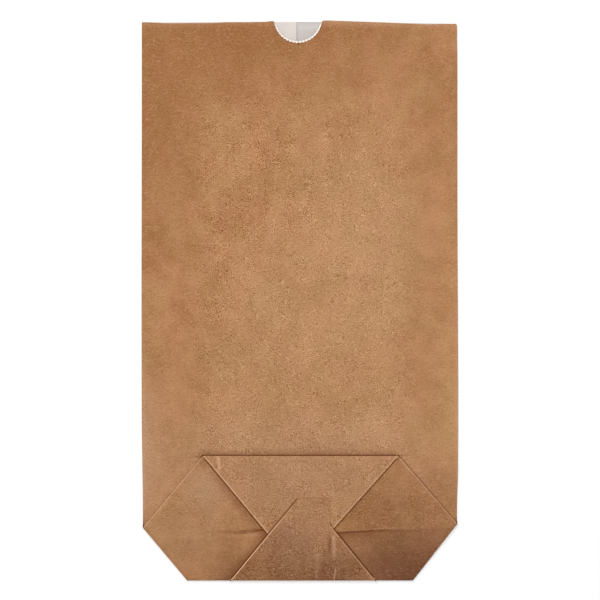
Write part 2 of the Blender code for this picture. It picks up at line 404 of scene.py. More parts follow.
def make_fibre_group():
    """Pulp of kraft paper: fine grain, loose fibres, cloudy formation, warm patches and bark specks."""
    board, given, out = new_group(
        "paper_fibre",
        (("Place", "Vector"), ("Grain Size", "Float")),
        [(label, "Float") for label in fibre_outputs],
    )
    place = given["Place"]
    per_grain = board.maths("DIVIDE", 1.0, given["Grain Size"])
    fine = board.noise(board.turned(place, 0.0, (1.28, 0.92, 1.0)), per_grain, 1.0, 0.6)
    coarse = board.noise(place, board.maths("MULTIPLY", per_grain, 0.4), 2.0, 0.5)
    grain = board.maths("MULTIPLY_ADD", coarse, 0.12, board.maths("MULTIPLY", fine, 0.88))
    calm = board.ramp(board.noise(place, 0.21, 1.0), 0.36, 0.62, 0.55, 1.15)
    centred = board.maths("SUBTRACT", board.ramp(grain, 0.34, 0.66), 0.5)
    board.feed(out["Grain"], board.maths("MULTIPLY_ADD", centred, calm, 0.5))
    light_a = board.noise(board.turned(place, 28.0, (0.5, 2.3, 1.0)), 1.0, 1.0)
    light_b = board.noise(board.turned(place, -58.0, (0.5, 2.3, 1.0), (7.0, 3.0, 0.0)), 1.0, 1.0)
    light = board.maths("MAXIMUM", light_a, light_b)
    board.feed(out["Light Fibre"], board.ramp(light, 0.60, 0.74))
    dark_a = board.noise(board.turned(place, -12.0, (0.5, 2.1, 1.0), (31.0, 11.0, 0.0)), 1.0, 1.0)
    dark_b = board.noise(board.turned(place, 64.0, (0.5, 2.1, 1.0), (17.0, 43.0, 0.0)), 1.0, 1.0)
    dark = board.maths("MAXIMUM", dark_a, dark_b)
    board.feed(out["Dark Fibre"], board.ramp(dark, 0.61, 0.75))
    broad = board.noise(place, 0.034, 2.0, 0.55)
    patch = board.noise(place, 0.13, 3.0, 0.6)
    cloud = board.maths("MULTIPLY_ADD", patch, 0.45, board.maths("MULTIPLY", broad, 0.55))
    board.feed(out["Cloud"], board.ramp(cloud, 0.34, 0.66))
    shifted = board.turned(place, 0.0, (1.0, 1.0, 1.0), (140.0, 60.0, 20.0))
    warm = board.noise(shifted, 0.045, 2.0, 0.5)
    board.feed(out["Warmth"], board.ramp(warm, 0.38, 0.62))
    cells = board.node("ShaderNodeTexVoronoi", feature="F1")
    board.feed(cells.inputs["Vector"], place)
    board.feed(cells.inputs["Scale"], 0.085)
    near = board.ramp(cells.outputs["Distance"], 0.018, 0.036, 1.0, 0.0)
    chosen = board.node("ShaderNodeSeparateColor")
    board.feed(chosen.inputs[0], cells.outputs["Color"])
    rare = board.ramp(chosen.outputs[0], 0.62, 0.80)
    board.feed(out["Speck"], board.maths("MULTIPLY", near, rare))
    relief = board.maths("ADD", grain, board.maths("MULTIPLY", light, 0.35))
    board.feed(out["Height"], board.maths("MULTIPLY_ADD", patch, 0.5, relief))
    return board.tree


def make_crease_group():
    """A crease or edge mark along a straight line, with its own width, fading towards its end."""
    board, given, out = new_group(
        "crease_line",
        (
            ("Place", "Vector"),
            ("Start", "Vector"),
            ("End", "Vector"),
            ("Width", "Float"),
            ("Core", "Float"),
            ("Fade", "Float"),
        ),
        (("Mask", "Float"),),
    )
    flat = board.vector("MULTIPLY", given["Place"], (1.0, 1.0, 0.0))
    run = board.vector("SUBTRACT", given["End"], given["Start"])
    from_start = board.vector("SUBTRACT", flat, given["Start"])
    length_squared = board.vector("DOT_PRODUCT", run, run)
    share = board.maths("DIVIDE", board.vector("DOT_PRODUCT", from_start, run), length_squared)
    held = board.maths("MINIMUM", board.maths("MAXIMUM", share, 0.0), 1.0)
    nearest = board.vector("SCALE", run, scale=held)
    distance = board.vector("LENGTH", board.vector("SUBTRACT", from_start, nearest))
    line = board.ramp(distance, given["Core"], given["Width"], 1.0, 0.0)
    fade_from = board.maths("SUBTRACT", 1.0, given["Fade"])
    ending = board.ramp(share, fade_from, 1.001, 1.0, 0.0)
    board.feed(out["Mask"], board.maths("MULTIPLY", line, ending))
    return board.tree


def make_patch_group():
    """A soft round patch, for slow changes of tone and for painted sheen and shade."""
    board, given, out = new_group(
        "tone_patch",
        (("Place", "Vector"), ("Centre", "Vector"), ("Reach", "Vector")),
        (("Mask", "Float"),),
    )
    flat = board.vector("MULTIPLY", given["Place"], (1.0, 1.0, 0.0))
    scaled = board.vector("DIVIDE", board.vector("SUBTRACT", flat, given["Centre"]), given["Reach"])
    distance = board.vector("LENGTH", board.vector("MULTIPLY", scaled, (1.0, 1.0, 0.0)))
    board.feed(out["Mask"], board.ramp(distance, 0.0, 1.0, 1.0, 0.0))
    return board.tree


fibre_group = make_fibre_group()
crease_group = make_crease_group()
patch_group = make_patch_group()

kraft_deep = srgb(163, 111, 68)
kraft_pale = srgb(191, 140, 97)
kraft_red = srgb(187, 124, 86)
kraft_olive = srgb(174, 129, 76)
# Pale, less saturated kraft: a painted sheen over the middle of the bulged front wall, and a few
# lighter patches of the paper
kraft_painted_sheen = srgb(217, 170, 127)
# Darker, redder kraft: a tone of the paper, and painted shade along the front wall's top and left
# borders
kraft_dark_tone_and_shade = srgb(156, 102, 59)
kraft_grey = srgb(194, 151, 118)
kraft_straw = srgb(202, 158, 108)
kraft_sand = srgb(210, 154, 106)
# Dark brown mixed in as painted shade, most of all over the lower right of the folded bottom
kraft_painted_shade = srgb(94, 48, 36)
kraft_moss = srgb(174, 134, 94)
fibre_light = srgb(216, 176, 138)
fibre_dark = srgb(126, 84, 52)
bark = srgb(74, 44, 28)
# Tints of the line marks: painted highlights where fold edges and wrinkles catch the light, painted
# shadows beside raised flap edges and in creases
painted_highlight_tan = srgb(240, 196, 160)
painted_shadow_brown = srgb(104, 46, 0)
liner_white = srgb(232, 224, 218)
liner_grey = srgb(218, 210, 204)
liner_fibre = srgb(190, 178, 166)
rim_white = srgb(252, 244, 234)
seam_grey = srgb(208, 200, 195)

# Make-up of the kraft outside
kraft_grain_size = 0.44
kraft_grain_swing = (0.105, 0.074, 0.050)
kraft_hue_share = 0.26
light_fibre_share = 0.30
dark_fibre_share = 0.34
bark_share = 0.75
kraft_bump_strength = 0.55
kraft_bump_depth = 0.00012
upper_flap_grain = 1.45
lower_flap_grain = 1.25


def base_board(name):
    """A new material, its board and shader, and the place on the bag in millimetres."""
    material = bpy.data.materials.new(name)
    material.use_nodes = True
    board = Board(material.node_tree)
    shader = material.node_tree.nodes["Principled BSDF"]
    place = board.vector("SCALE", board.node("ShaderNodeTexCoord").outputs["Object"], scale=PER_METRE)
    return material, board, shader, place


def add_bump(board, shader, height, strength, depth):
    bump = board.node("ShaderNodeBump")
    bump.inputs["Strength"].default_value = strength
    bump.inputs["Distance"].default_value = depth
    board.feed(bump.inputs["Height"], height)
    board.feed(shader.inputs["Normal"], bump.outputs["Normal"])


def marks_on(board, place, colour, height, marks):
    """Draws creases and fold edges as painted highlights and painted shadows: each is a line with its
    colour, strength, width and relief.
    """
    for mark in marks:
        mask = board.group(
            crease_group,
            Place=place,
            Start=(*mark["line"][0], 0.0),
            End=(*mark["line"][1], 0.0),
            Width=mark["width"],
            Core=mark.get("core", 0.0),
            Fade=mark.get("fade", 0.02),
        )["Mask"]
        # A painted highlight for a tone above 0, a painted shadow below it
        tint = painted_highlight_tan if mark["tone"] > 0 else painted_shadow_brown
        colour = board.mix(board.maths("MULTIPLY", mask, abs(mark["tone"])), colour, tint)
        if mark.get("relief"):
            height = board.maths("MULTIPLY_ADD", mask, mark["relief"], height)
    return colour, height


def painted_shade_below_crease(board, place, colour):
    """Painted shade: the lower half of a side flap leans away from the light, so it is darkened from
    its crease downwards.
    """
    split = board.node("ShaderNodeSeparateXYZ")
    board.feed(split.inputs[0], place)
    crease = board.maths("MULTIPLY_ADD", split.outputs[0], crease_slope, crease_level)
    under = board.ramp(board.maths("SUBTRACT", crease, split.outputs[1]), -0.4, 1.4)
    right = board.ramp(split.outputs[0], -20.0, 20.0, 0.05, 0.20)
    return board.mix(board.maths("MULTIPLY", under, right), colour, kraft_painted_shade)


def wall_coarseness(board, place):
    """The grain stands out in the middle of the wall and is smoother at its sides and top."""
    split = board.node("ShaderNodeSeparateXYZ")
    board.feed(split.inputs[0], place)
    away = board.maths("ABSOLUTE", board.maths("SUBTRACT", split.outputs[0], 1.0))
    middle = board.ramp(away, 43.0, 64.0, 1.0, 0.0)
    below = board.ramp(split.outputs[1], 76.0, 120.0, 1.0, 0.0)
    return board.maths("MULTIPLY_ADD", board.maths("MULTIPLY", middle, below), 1.10, 0.64)


def side_coarseness(board, place):
    """The grain of the side flaps, smoother below their crease."""
    split = board.node("ShaderNodeSeparateXYZ")
    board.feed(split.inputs[0], place)
    across = board.ramp(split.outputs[0], -20.0, 20.0, 0.82, 0.76)
    return board.maths("MULTIPLY", across, board.ramp(split.outputs[1], -123.0, -113.0, 0.62, 1.0))


def kraft(name, marks=(), patches=(), extra=None, grain_mask=None, grain_strength=1.0):
    """Brown kraft outside of one panel, with that panel's own creases and slow changes of tone, painted
    highlights, shadows, shade and sheen among them.
    """
    material, board, shader, place = base_board(name)
    pulp = board.group(fibre_group, Place=place, Grain_Size=kraft_grain_size)
    colour = board.mix(pulp["Cloud"], kraft_deep, kraft_pale)
    hue = board.mix(pulp["Warmth"], kraft_olive, kraft_red)
    colour = board.mix(kraft_hue_share, colour, hue)
    # Tone patches, some of them painted sheen and painted shade
    for centre, reach, tint, strength in patches:
        patch = board.group(patch_group, Place=place, Centre=(*centre, 0.0), Reach=(*reach, 1.0))
        colour = board.mix(board.maths("MULTIPLY", patch["Mask"], strength), colour, tint)
    grain = board.maths("MULTIPLY_ADD", pulp["Grain"], 2.0, -1.0)
    coarseness = grain_mask(board, place) if grain_mask else grain_strength
    grain = board.maths("MULTIPLY", grain, coarseness)
    speckle = board.vector("SCALE", kraft_grain_swing, scale=grain)
    colour = board.vector("ADD", colour, speckle)
    fibres = (
        ("Light Fibre", light_fibre_share, fibre_light),
        ("Dark Fibre", dark_fibre_share, fibre_dark),
        ("Speck", bark_share, bark),
    )
    for output, share, tint in fibres:
        colour = board.mix(board.maths("MULTIPLY", pulp[output], share), colour, tint)
    # Painted highlights and shadows along creases and fold edges
    colour, height = marks_on(board, place, colour, pulp["Height"], marks)
    if extra:
        colour = extra(board, place, colour)
    board.feed(shader.inputs["Base Color"], colour)
    board.feed(shader.inputs["Roughness"], board.ramp(pulp["Grain"], 0.0, 1.0, 0.66, 0.54))
    shader.inputs["Specular IOR Level"].default_value = 0.10
    add_bump(board, shader, height, kraft_bump_strength, kraft_bump_depth)
    return material


def liner(name, tone):
    """Pale inside of the sheet."""
    material, board, shader, place = base_board(name)
    pulp = board.group(fibre_group, Place=place, Grain_Size=1.3)
    colour = board.mix(board.ramp(pulp["Cloud"], 0.0, 1.0, 0.0, 0.35), tone, liner_grey)
    colour = board.mix(board.maths("MULTIPLY", pulp["Dark Fibre"], 0.10), colour, liner_fibre)
    board.feed(shader.inputs["Base Color"], colour)
    board.feed(shader.inputs["Roughness"], board.ramp(pulp["Grain"], 0.0, 1.0, 0.7, 0.6))
    add_bump(board, shader, pulp["Height"], 0.3, 0.00006)
    return material


def cut_edge(name, tone):
    """The bare edge of the sheet, where the pulp shows."""
    material, board, shader, place = base_board(name)
    pulp = board.group(fibre_group, Place=place, Grain_Size=0.5)
    darker = (*(part * 0.8 for part in tone[:3]), 1.0)
    board.feed(shader.inputs["Base Color"], board.mix(pulp["Grain"], darker, tone))
    shader.inputs["Roughness"].default_value = 0.8
    return material


def notch_rim(board, place, colour):
    """The pale liner that shows inside the toothed brown edge of the thumb notch, with a painted shadow
    along that brown edge.
    """
    centre = (notch_centre_x, notch_centre_y, 0.0)
    flat = board.vector("MULTIPLY", place, (1.0, 1.0, 0.0))
    arm = board.vector("SUBTRACT", flat, centre)
    distance = board.vector("LENGTH", arm)
    split = board.node("ShaderNodeSeparateXYZ")
    board.feed(split.inputs[0], arm)
    angle = board.maths("ARCTAN2", split.outputs[1], split.outputs[0])
    rim_radius = notch_radius + liner_rim
    teeth = 2.0 * math.pi * rim_radius / tooth_pitch
    wave = board.maths("ABSOLUTE", board.maths("SINE", board.maths("MULTIPLY", angle, teeth / 2)))
    depth = board.ramp(split.outputs[1], -10.5, -5.5, tooth_depth, tooth_depth * calm_teeth)
    wave = board.maths("SUBTRACT", wave, 0.5)
    edge = board.maths("MULTIPLY_ADD", wave, depth, rim_radius)
    past_edge = board.maths("SUBTRACT", distance, edge)
    inside = board.ramp(past_edge, -0.10, 0.10, 1.0, 0.0)
    # Painted shadow on the brown paper along the toothed edge
    shadow = board.ramp(past_edge, 0.0, 0.9, 0.45, 0.0)
    colour = board.mix(shadow, colour, painted_shadow_brown)
    return board.mix(inside, colour, rim_white)


def line(start, end, width, tone, **more):
    """A mark along a line: lighter than the paper where its tone is above 0, a painted highlight;
    darker below, a painted shadow.
    """
    return {"line": (start, end), "width": width, "tone": tone, **more}


def beside(start, end, offset):
    """The same line moved sideways, towards +X where the offset is positive."""
    out = outward(start, end, 1)
    shift_x = out[0] * offset
    shift_y = out[1] * offset
    return (start[0] + shift_x, start[1] + shift_y), (end[0] + shift_x, end[1] + shift_y)


# Creases, fold edges and their shadows, drawn as painted highlights and painted shadows, a few with
# relief: start, end, width, tone
# Front wall: painted light bands along the mouth and the side folds, painted soft shadow and contact
# shadow above the bottom's top edge
front_painted_marks = (
    line((-49.1, -78.7), (-57.5, -79.1), 0.7, -0.37, fade=0.8, relief=-1.5),
    line((49.9, -78.2), (60.0, -77.4), 0.7, -0.37, fade=0.8, relief=-1.5),
    line((-79.0, -113.6), (-79.6, -110.0), 0.7, -0.67, fade=0.6),
    line((79.2, -111.6), (79.6, -108.4), 0.8, -0.85, core=0.1, fade=0.6),
    line((-0.4, 129.9), (-1.1, 128.5), 0.7, -0.80, fade=0.3, relief=-2.0),
    line((-52.3, 98.6), (-51.0, 99.0), 0.5, -0.60, fade=0.4),
    line(left_upper, left_vertex, 0.8, -0.15),
    line(*beside(right_upper, right_vertex, -0.16), 1.0, -0.66, core=0.1),
    line((-80.0, 141.2), (80.0, 140.8), 4.0, 0.11, core=0.5),
    line((16.0, 141.4), (52.0, 141.2), 5.0, 0.12, core=1.0),
    line((-80.4, -104.0), (-80.4, 20.0), 4.0, 0.09, core=0.5, fade=0.5),
    line((80.4, -100.0), (80.4, 40.0), 3.0, 0.13, core=0.5, fade=0.5),
    line(left_upper, right_upper, 4.5, -0.33),
    line(left_upper, right_upper, 0.9, -0.68, core=0.3),
)
# Side flaps: painted crease shadows and highlights, painted contact shadows beside the edges of the
# upper and lower flaps, painted highlights along the slanted folds
side_painted_marks = (
    line((-17.5, -115.6), (-33.9, -117.2), 1.7, -0.39, core=0.4, fade=0.4),
    line((-17.5, -115.6), (-27.0, -116.5), 0.6, -0.55, core=0.1, fade=0.7, relief=-2.0),
    line((-28.0, -116.8), (-48.0, -116.4), 1.5, -0.25, core=0.3, fade=0.7),
    line((-20.0, -117.9), (-38.0, -119.2), 1.7, 0.12, fade=0.6),
    line((17.6, -118.0), (44.0, -116.6), 3.0, -0.34, core=0.4, fade=0.8),
    line((17.6, -117.4), (58.0, -115.0), 0.8, -0.60, core=0.1, fade=0.55, relief=-2.0),
    line((20.0, -116.1), (66.0, -113.4), 0.8, 0.08, fade=0.55),
    line((38.0, -115.3), (64.0, -114.7), 1.0, 0.06, fade=0.4),
    line((40.0, -116.4), (66.0, -115.8), 1.1, -0.20, fade=0.5),
    line(*beside(left_upper, upper_foot_left, -0.05), 0.68, -0.97, core=0.2),
    line(*beside(right_upper, upper_foot_right, -0.10), 0.72, -0.97, core=0.25),
    line(upper_foot_left, left_upper, 6.0, -0.34, core=1.2, fade=0.35),
    line((-50.0, -80.6), (-46.6, -84.8), 2.6, -0.22, core=0.5, fade=0.5),
    line(right_upper, upper_foot_right, 2.2, -0.13),
    line(*beside(left_foot, flap_tip, -0.25), 0.66, -0.81, core=0.15),
    line(*beside(right_foot, flap_knee, 0.08), 0.74, -0.97, core=0.25),
    line(left_foot, flap_tip, 5.5, -0.39),
    line(right_foot, flap_knee, 2.4, -0.17),
    line(*beside(left_vertex, left_upper, 0.28), 0.46, 0.38, core=0.08),
    line(*beside(right_vertex, right_upper, -0.28), 0.46, 0.34, core=0.08),
    line((-79.5, -114.2), (-79.2, -113.2), 0.7, -0.85, core=0.2, fade=0.3),
    line((79.6, -112.5), (79.3, -111.3), 0.7, -0.85, core=0.2, fade=0.3),
)
# Upper flap: painted highlights on a ridge and along its rolled edges, painted contact shadows beside
# the lower flap's edges
upper_painted_marks = (
    line((-41.2, -79.0), (-40.4, -87.6), 1.3, 0.42, core=0.1, fade=0.5, relief=2.0),
    line((16.2, -114.6), (14.7, -110.6), 0.6, -0.60, core=0.1, fade=0.5),
    line(*beside(left_upper, upper_foot_left, 0.64), 0.42, 0.50, core=0.08),
    line(*beside(right_upper, upper_foot_right, -0.74), 0.42, 0.36, core=0.05),
    line(left_upper, right_upper, 0.6, 0.10),
    line(*beside(left_foot, flap_tip, -0.2), 0.8, -0.81, core=0.2),
    line(right_foot, flap_knee, 0.8, -0.73, core=0.2),
    line(flap_knee, flap_corner, 0.5, -0.37, fade=0.7),
    line(flap_tip, flap_corner, 0.6, -0.24),
    line((-79.3, -113.9), (-79.5, -112.2), 1.0, -0.90, core=0.3, fade=0.5),
    line((79.4, -112.2), (79.5, -110.4), 1.0, -0.90, core=0.3, fade=0.5),
)
# Lower flap: painted highlights along its rolled edges, and wrinkles with real bump relief and painted
# light and dark
lower_painted_marks = (
    line(*beside(left_foot, flap_tip, 0.24), 0.34, 0.92, core=0.06, fade=0.45),
    line(*beside(right_foot, flap_knee, -0.44), 0.44, 0.30, core=0.1),
    line((15.3, -120.0), (15.0, -127.6), 0.6, -0.59, fade=0.4, relief=-2.0),
    line((14.8, -118.0), (14.4, -129.0), 2.2, -0.20, fade=0.4),
    line((17.1, -119.0), (17.4, -132.0), 1.5, 0.22, core=0.2, fade=0.3, relief=1.0),
    line((18.0, -135.0), (17.2, -141.4), 0.55, 0.36, fade=0.05, relief=2.0),
    line((12.4, -126.0), (11.8, -141.0), 1.6, -0.20, fade=0.1),
    line((9.0, -128.0), (8.4, -141.0), 1.5, 0.10, fade=0.1),
    line((20.6, -130.0), (22.4, -141.0), 1.4, -0.17, fade=0.1),
    line((2.0, -128.0), (1.0, -141.0), 2.0, -0.15, fade=0.1),
)

# Slow changes of tone, painted sheen and painted shade among them: centre, reach, tint, strength
wall_tones_and_painted_light = (
    ((18.0, -8.0), (92.0, 140.0), kraft_painted_sheen, 0.30),
    ((34.0, 24.0), (40.0, 60.0), kraft_painted_sheen, 0.20),
    ((-33.0, -22.0), (32.0, 50.0), kraft_painted_sheen, 0.17),
    ((36.0, -64.0), (40.0, 26.0), kraft_painted_sheen, 0.19),
    ((-16.0, 0.0), (20.0, 24.0), kraft_painted_sheen, 0.20),
    ((-73.0, -40.0), (22.0, 26.0), kraft_painted_sheen, 0.16),
    ((20.0, 126.0), (22.0, 24.0), kraft_painted_sheen, 0.10),
    ((-46.0, 106.0), (52.0, 36.0), kraft_dark_tone_and_shade, 0.42),
    ((-30.0, 152.0), (130.0, 62.0), kraft_dark_tone_and_shade, 0.85),
    ((-88.0, 92.0), (50.0, 92.0), kraft_dark_tone_and_shade, 0.66),
    ((26.0, 70.0), (50.0, 52.0), kraft_painted_sheen, 0.16),
    ((-38.0, -63.0), (52.0, 42.0), kraft_painted_sheen, 0.20),
    ((80.0, 20.0), (26.0, 170.0), kraft_sand, 0.26),
    ((-10.0, -84.0), (120.0, 42.0), kraft_grey, 0.42),
    ((-82.0, -78.0), (18.0, 60.0), kraft_grey, 0.60),
    ((84.0, -62.0), (20.0, 56.0), kraft_straw, 0.50),
    ((76.0, -98.0), (26.0, 26.0), kraft_painted_shade, 0.16),
    ((20.0, -74.0), (24.0, 9.0), kraft_painted_shade, 0.09),
    ((-63.0, 50.0), (17.0, 18.0), kraft_dark_tone_and_shade, 0.22),
    ((44.0, 34.0), (28.0, 42.0), kraft_painted_sheen, 0.17),
    ((-38.0, 92.0), (20.0, 16.0), kraft_painted_sheen, 0.16),
    ((-6.0, -32.0), (18.0, 22.0), kraft_painted_sheen, 0.16),
    ((46.0, -54.0), (24.0, 26.0), kraft_painted_sheen, 0.14),
    ((63.0, 107.0), (13.0, 12.0), kraft_painted_sheen, 0.20),
)
side_tones_and_painted_shade = (
    ((-48.0, -95.0), (18.0, 18.0), kraft_grey, 0.66),
    ((-60.0, -116.0), (40.0, 30.0), kraft_grey, 0.22),
    ((54.0, -140.0), (48.0, 36.0), kraft_painted_shade, 0.66),
    ((70.0, -112.0), (30.0, 22.0), kraft_painted_shade, 0.16),
    ((-56.0, -122.0), (22.0, 14.0), kraft_painted_shade, 0.08),
    ((38.0, -104.0), (50.0, 30.0), kraft_painted_shade, 0.24),
    ((24.0, -104.0), (22.0, 22.0), kraft_dark_tone_and_shade, 0.35),
    ((-33.0, -143.5), (22.0, 17.0), kraft_painted_shade, 0.56),
    ((44.0, -137.0), (26.0, 16.0), kraft_painted_shade, 0.14),
    ((-31.0, -133.0), (13.0, 12.0), kraft_painted_shade, 0.16),
    ((-52.0, -112.0), (40.0, 40.0), kraft_moss, 0.22),
)
upper_tones_and_painted_shade = (
    ((0.0, -90.0), (90.0, 50.0), kraft_grey, 0.45),
    ((4.0, -114.0), (26.0, 16.0), kraft_painted_shade, 0.12),
    ((-8.0, -102.0), (26.0, 18.0), kraft_painted_shade, 0.14),
)
lower_tones_and_painted_shade = (
    ((2.0, -124.0), (62.0, 60.0), kraft_painted_shade, 0.24),
    ((-3.0, -134.5), (50.0, 26.0), kraft_painted_shade, 0.27),
    ((4.0, -148.0), (70.0, 24.0), kraft_painted_shade, 0.30),
    ((26.0, -134.0), (20.0, 26.0), kraft_painted_shade, 0.34),
    ((-32.0, -140.0), (18.0, 16.0), kraft_painted_shade, 0.22),
    ((0.0, -118.0), (34.0, 26.0), kraft_grey, 0.30),
    ((-8.0, -121.0), (26.0, 13.0), kraft_painted_shade, 0.20),
    ((12.0, -137.0), (13.0, 12.0), kraft_painted_shade, 0.14),
    ((3.0, -104.0), (20.0, 13.0), kraft_moss, 0.40),
)

kraft_edge = cut_edge("kraft_cut_edge", srgb(206, 164, 124))
liner_edge = cut_edge("liner_cut_edge", srgb(240, 228, 214))
pale_inside = liner("pale_inside", liner_white)
front_kraft = kraft("kraft_front_wall", front_painted_marks, wall_tones_and_painted_light, notch_rim, wall_coarseness)
front_finish = (front_kraft, pale_inside, liner_edge)
back_finish = (kraft("kraft_back_wall"), pale_inside, kraft_edge)
side_kraft = kraft("kraft_side_flaps", side_painted_marks, side_tones_and_painted_shade, painted_shade_below_crease, side_coarseness)
side_finish = (side_kraft, pale_inside, kraft_edge)
fold_finish = (side_kraft, side_kraft, kraft_edge)
upper_kraft = kraft("kraft_upper_flap", upper_painted_marks, upper_tones_and_painted_shade, grain_strength=upper_flap_grain)
upper_finish = (upper_kraft, upper_kraft, kraft_edge)
lower_kraft = kraft("kraft_lower_flap", lower_painted_marks, lower_tones_and_painted_shade, grain_strength=lower_flap_grain)
lower_finish = (lower_kraft, lower_kraft, kraft_edge)


# The panels of the folded sheet


def edge_swell(side, y):
    """How far a side fold stands out from the straight line at a height of the bag."""
    if side < 0:
        return 0.06 + 0.125 * hump((y - 5.0) / 100.0) - 0.56 * smooth((-58.0 - y) / 50.0)
    middle = 0.42 * hump((y + 52.0) / 110.0)
    bottom = 0.44 * smooth((-84.0 - y) / 22.0)
    corner = 0.2 * smooth((y - 120.0) / 20.0) + 0.6 * smooth((y - mouth(half) + 1.0) / 1.6)
    return middle - bottom - corner - 0.37


def notch_cutter():
    """A block with the outline of the notch: a toothed half circle that opens out at the mouth."""
    floor = 1.6
    height = 14.0
    steps = int(round(notch_turn * notch_radius / tooth_pitch)) * points_per_tooth
    outline = []
    for i in range(steps + 1):
        share = i / steps
        angle = -math.pi / 2 - notch_turn / 2 + notch_turn * share
        wave = abs(math.sin(math.pi * i / points_per_tooth))
        flare = notch_flare * max(0.0, (abs(share - 0.5) - flare_from) / (0.5 - flare_from)) ** 1.5
        near_foot = smooth((-math.sin(angle) * notch_radius - 5.0) / 5.0)
        depth = tooth_depth * (calm_teeth + (1.0 - calm_teeth) * near_foot)
        radius = notch_radius + depth * (wave - 0.5) + flare
        x = notch_centre_x + radius * math.cos(angle)
        y = notch_centre_y + radius * math.sin(angle)
        outline.append((x, y))
    reach = notch_radius + notch_flare + 0.6
    past_mouth = notch_centre_y + 6.0
    outline.append((notch_centre_x + reach, past_mouth))
    outline.append((notch_centre_x - reach, past_mouth))
    work = bmesh.new()
    face = work.faces.new([work.verts.new((x * MM, y * MM, floor * MM)) for x, y in outline])
    more = bmesh.ops.extrude_face_region(work, geom=[face])
    top = [part for part in more["geom"] if isinstance(part, bmesh.types.BMVert)]
    bmesh.ops.translate(work, verts=top, vec=(0.0, 0.0, height * MM))
    bmesh.ops.recalc_face_normals(work, faces=work.faces)
    mesh = bpy.data.meshes.new("notch_cutter")
    work.to_mesh(mesh)
    work.free()
    mesh.materials.append(liner_edge)
    return add_object("notch_cutter", mesh)


def front_wall():
    """The front wall with its side folds, which roll under to the back wall, and its notch."""
    columns = 110
    gap = 0.06
    tuck = 1.5
    rows = []
    side_low = paper / 2 + gap
    inset = (layer_pitch - gap) / 2 + paper / 2
    for share in mouth_rows + between(mouth_rows[-1], 1.0, 140)[1:]:
        row = []
        for i in range(columns + 1):
            x = -half + inset + (bag_width - 2 * inset) * i / columns
            start = mouth(x) - recess(x)
            y = start + (hinge(x) - start) * share
            side = -1 if x < 0 else 1
            x += side * edge_swell(side, y) * smooth((abs(x) - 40.0) / 40.0)
            row.append((x, y, front_height(x, y)))
        left = row[0]
        right = row[-1]
        left_arc = fold_arc(left[0], left[1], (-1, 0), side_low, left[2])
        right_arc = fold_arc(right[0], right[1], (1, 0), side_low, right[2])
        first = (left[0] + tuck, left[1], side_low)
        last = (right[0] - tuck, right[1], side_low)
        rows.append([first, *left_arc, *row[1:-1], *reversed(right_arc), last])
    cutter = notch_cutter()
    wall = panel("front_wall", rows, front_finish, cutter=cutter)
    bpy.data.objects.remove(cutter, do_unlink=True)
    return wall


def back_wall():
    """The flat back wall, cut along the slants below the two vertices."""
    columns = 40
    side_inset = 0.22
    slant_inset = 0.35
    foot = low + 0.6
    rows = []
    for share in mouth_rows + between(mouth_rows[-1], 1.0, 80)[1:]:
        ends = []
        for side in (-1, 1):
            vertex, _, lower = corners[side]
            x = side * (half - side_inset)
            y = mouth(x) + (foot - mouth(x)) * share
            if y < vertex[1]:
                x = along(vertex, lower, y) - side * slant_inset
            else:
                x += side * edge_swell(side, y)
            ends.append(x)
        row = []
        for i in range(columns + 1):
            x = ends[0] + (ends[1] - ends[0]) * i / columns
            row.append((x, mouth(x) + (foot - mouth(x)) * share, paper / 2))
        rows.append(row)
    return panel("back_wall", rows, back_finish, (0, 0, -1))


def seam():
    """The overlap of the long glued seam, seen inside the back wall."""
    steps = 60
    columns = 6
    top = mouth(0) - 0.1
    foot = low + 6.0
    height = paper / 2 + paper + 0.02
    rows = []
    for step in range(steps + 1):
        y = top + (foot - mouth(0)) * step / steps
        rows.append([(seam_left + seam_width * i / columns, y, height) for i in range(columns + 1)])
    inner = liner("pale_seam_overlap", seam_grey)
    return panel("long_seam_overlap", rows, (inner, inner, kraft_edge))


def strip_row(layer, y_of, span, columns, shift=0.0):
    """A row of points across the bag at a layer's height."""
    row = []
    for i in range(columns + 1):
        x = span[0] + (span[1] - span[0]) * i / columns
        y = y_of(x)
        row.append((x, y, level(layer, x, y) + shift))
    return row


def rolled(row, tuck):
    """Adds a fold rolled under at both ends of a row, so that its edges are round."""
    left = row[0]
    right = row[-1]
    left_arc = fold_arc(left[0] + roll_drop / 2, left[1], (-1, 0), left[2] - roll_drop, left[2])
    right_arc = fold_arc(right[0] - roll_drop / 2, right[1], (1, 0), right[2] - roll_drop, right[2])
    first = (left[0] + tuck, left[1], left[2] - roll_drop)
    last = (right[0] - tuck, right[1], right[2] - roll_drop)
    return [first, *left_arc, *row[1:-1], *reversed(right_arc), last]


def add_turn(rows, way, heights, steps=roll_steps):
    """Adds the rows of a round turn, from the last row over to the given heights."""
    arcs = [fold_arc(x, y, (0, way), z, top, steps) for (x, y, z), top in zip(rows[-1], heights)]
    for step in range(1, steps + 1):
        rows.append([arc[step] for arc in arcs])


